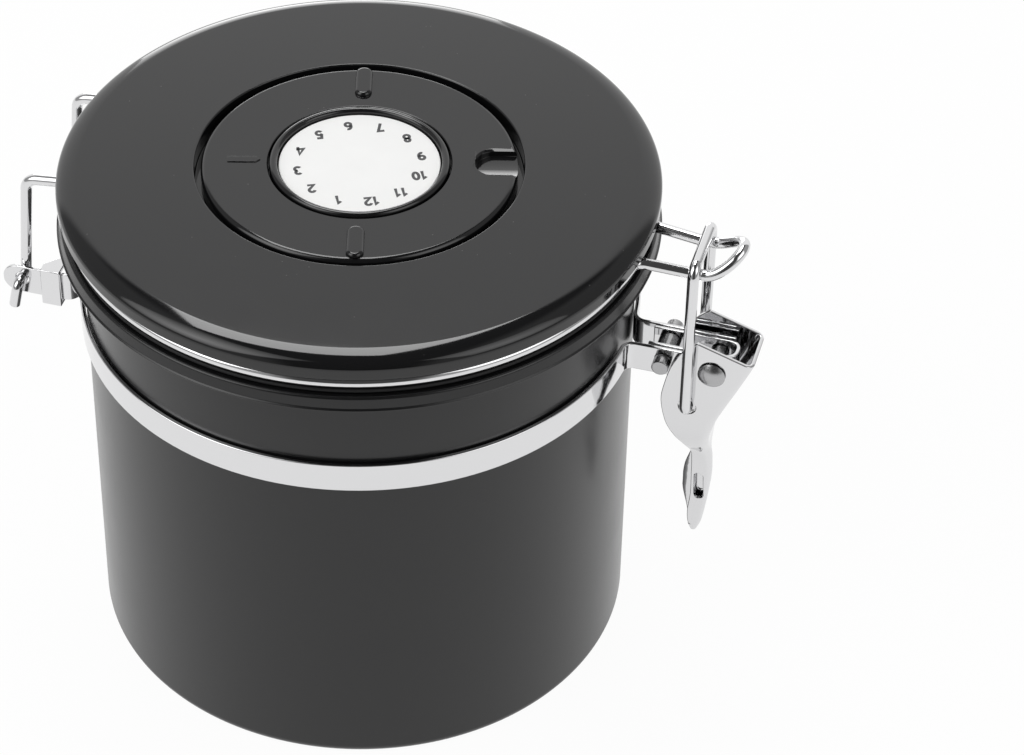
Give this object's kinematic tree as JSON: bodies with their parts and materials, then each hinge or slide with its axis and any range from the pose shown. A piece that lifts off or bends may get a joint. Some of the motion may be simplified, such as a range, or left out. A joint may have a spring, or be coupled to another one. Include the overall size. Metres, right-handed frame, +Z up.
{
  "type": "coffee canister",
  "caption": "Round black steel storage canister with a wire-hinged lid, a lever clasp, a one-way valve and a turning month dial.",
  "frame": {"origin": "centre of the flat foot, on the can's axis", "axes": "+X towards the lever clasp, -X towards the lid's hinge, +Z up"},
  "size_m": [0.1675, 0.1312, 0.1216],
  "materials": {
    "can_body": "black satin powder coat on drawn steel",
    "clamp_band": "polished stainless strip",
    "clamp_screw": "bright steel",
    "clamp_nut": "bright steel",
    "clamp_spacer": "bright steel",
    "latch_bracket": "polished stainless strip",
    "lever_rivet": "domed steel rivet",
    "hinge_bracket": "polished stainless strip",
    "hinge_clip_near": "polished stainless sheet",
    "hinge_clip_far": "polished stainless sheet",
    "lid_cap": "moulded black, smooth gloss",
    "lid_base": "moulded black, satin",
    "lid_gasket": "black silicone",
    "lid_wire": "polished stainless rod",
    "filter_cap": "moulded black, satin",
    "filter_pad": "undyed felt",
    "valve_seat": "moulded black, satin",
    "valve_flap": "black silicone",
    "dial_spindle": "turned steel",
    "date_disc": "moulded black, smooth gloss",
    "dial_bezel": "moulded black, smooth gloss",
    "number_plate": "white, printed in dark grey",
    "latch_lever": "polished stainless sheet",
    "latch_bail": "polished stainless spring rod"
  },
  "bodies": {
    "can": {"can_body": "can_body", "clamp_band": "clamp_band", "clamp_screw": "clamp_screw", "clamp_nut": "clamp_nut", "clamp_spacer": "clamp_spacer", "latch_bracket": "latch_bracket", "lever_rivet": "lever_rivet", "hinge_bracket": "hinge_bracket", "hinge_clip_near": "hinge_clip_near", "hinge_clip_far": "hinge_clip_far"},
    "lid": {"lid_cap": "lid_cap", "lid_base": "lid_base", "lid_gasket": "lid_gasket", "lid_wire": "lid_wire", "filter_cap": "filter_cap", "filter_pad": "filter_pad", "valve_seat": "valve_seat", "valve_flap": "valve_flap", "dial_spindle": "dial_spindle"},
    "disc": {"date_disc": "date_disc"},
    "dial": {"dial_bezel": "dial_bezel", "number_plate": "number_plate"},
    "lever": {"latch_lever": "latch_lever"},
    "bail": {"latch_bail": "latch_bail"}
  },
  "joints": [
    {"name": "lid_hinge", "type": "hinge", "parent": "can", "child": "lid", "pos_m": [-0.073, 0, 0.0852], "axis": [0, -1, 0], "range_deg": [0, 110]},
    {"name": "disc_turn", "type": "hinge", "parent": "lid", "child": "disc", "pos_m": [0, 0, 0.1182], "axis": [0, 0, 1], "continuous": true},
    {"name": "dial_turn", "type": "hinge", "parent": "lid", "child": "dial", "pos_m": [0, 0, 0.1182], "axis": [0, 0, 1], "continuous": true},
    {"name": "lever_swing", "type": "hinge", "parent": "can", "child": "lever", "pos_m": [0.081, 0, 0.0853], "axis": [0, -1, 0], "range_deg": [0, 130]},
    {"name": "bail_swing", "type": "hinge", "parent": "lever", "child": "bail", "pos_m": [0.076, 0, 0.0748], "axis": [0, -1, 0], "range_deg": [-163, 0], "deforming": ["latch_bail"]}
  ],
  "couplings": [
    {"joint": "bail_swing", "follows": "lever_swing", "ratio": -1.25}
  ]
}
